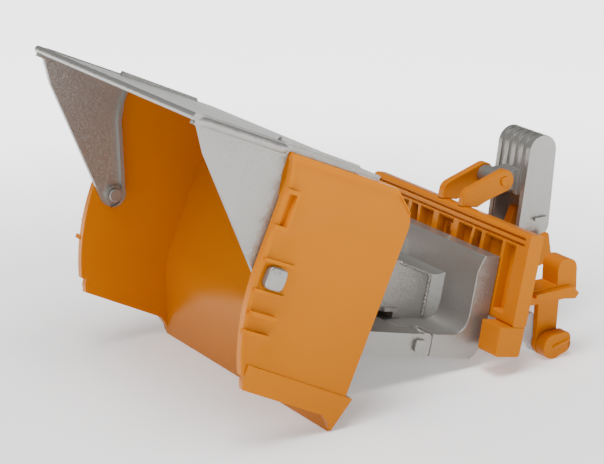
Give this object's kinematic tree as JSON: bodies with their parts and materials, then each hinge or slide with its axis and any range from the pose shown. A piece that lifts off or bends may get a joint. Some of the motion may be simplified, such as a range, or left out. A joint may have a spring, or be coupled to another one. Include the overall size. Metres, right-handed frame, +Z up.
{
  "type": "snow plough attachment",
  "caption": "Front box snow plough: bent blade between cheeks, swinging hood, tilting carriage, and a ribbed mounting frame with rear hooks, latches and a hand lever.",
  "frame": {"origin": "middle of the cutting edge, where it rests on the floor", "axes": "+X along the blade, +Y back towards the vehicle, +Z up"},
  "size_m": [0.189, 0.2843, 0.1825],
  "materials": {
    "orange_plastic": "moulded, satin gloss",
    "silver_plastic": "metallic silver, fine flake",
    "grey_plastic": "moulded, satin",
    "steel": "zinc plated"
  },
  "bodies": {
    "frame": {"mount_frame": "orange_plastic", "foot_left": "orange_plastic", "foot_right": "orange_plastic", "link_arm_left": "orange_plastic", "link_arm_right": "orange_plastic", "link_pin": "orange_plastic", "lock_lug": "orange_plastic", "lever_guard_left": "orange_plastic", "lever_guard_right": "orange_plastic", "hook_left": "orange_plastic", "hook_right": "orange_plastic", "gusset_left": "orange_plastic", "gusset_right": "orange_plastic"},
    "carriage": {"carriage": "silver_plastic", "centre_block": "silver_plastic", "king_pin": "silver_plastic", "king_washer": "grey_plastic", "king_screw": "steel", "tilt_pin_left": "silver_plastic", "tilt_pin_right": "silver_plastic"},
    "blade": {"mouldboard": "orange_plastic", "cheek_left": "orange_plastic", "cheek_right": "orange_plastic", "back_ribs": "orange_plastic", "tilt_bracket": "silver_plastic", "bracket_screws": "steel", "hood_pin_left": "silver_plastic", "hood_pin_right": "silver_plastic"},
    "hood": {"hood": "silver_plastic"},
    "lever": {"hand_lever": "silver_plastic"},
    "latch": {"latch_shaft": "grey_plastic", "latch_left": "grey_plastic", "latch_right": "grey_plastic", "end_cap_left": "orange_plastic", "end_cap_right": "orange_plastic"}
  },
  "joints": [
    {"name": "carriage_roll", "type": "hinge", "parent": "frame", "child": "carriage", "pos_m": [0, 0.13082, 0.04069], "axis": [0, 0.9781, -0.2079], "range_deg": [-4, 4]},
    {"name": "blade_tilt", "type": "hinge", "parent": "carriage", "child": "blade", "pos_m": [0, 0.07971, 0.0215], "axis": [1, 0, 0], "range_deg": [-6, 6]},
    {"name": "hood_swing", "type": "hinge", "parent": "blade", "child": "hood", "pos_m": [0, -0.03605, 0.09234], "axis": [1, 0, 0], "range_deg": [0, 75]},
    {"name": "lever_hinge", "type": "hinge", "parent": "frame", "child": "lever", "pos_m": [0, 0.16999, 0.09125], "axis": [1, 0, 0], "range_deg": [0, 40]},
    {"name": "latch_turn", "type": "hinge", "parent": "frame", "child": "latch", "pos_m": [0, 0.16522, 0.0075], "axis": [1, 0, 0], "range_deg": [0, 30]}
  ]
}
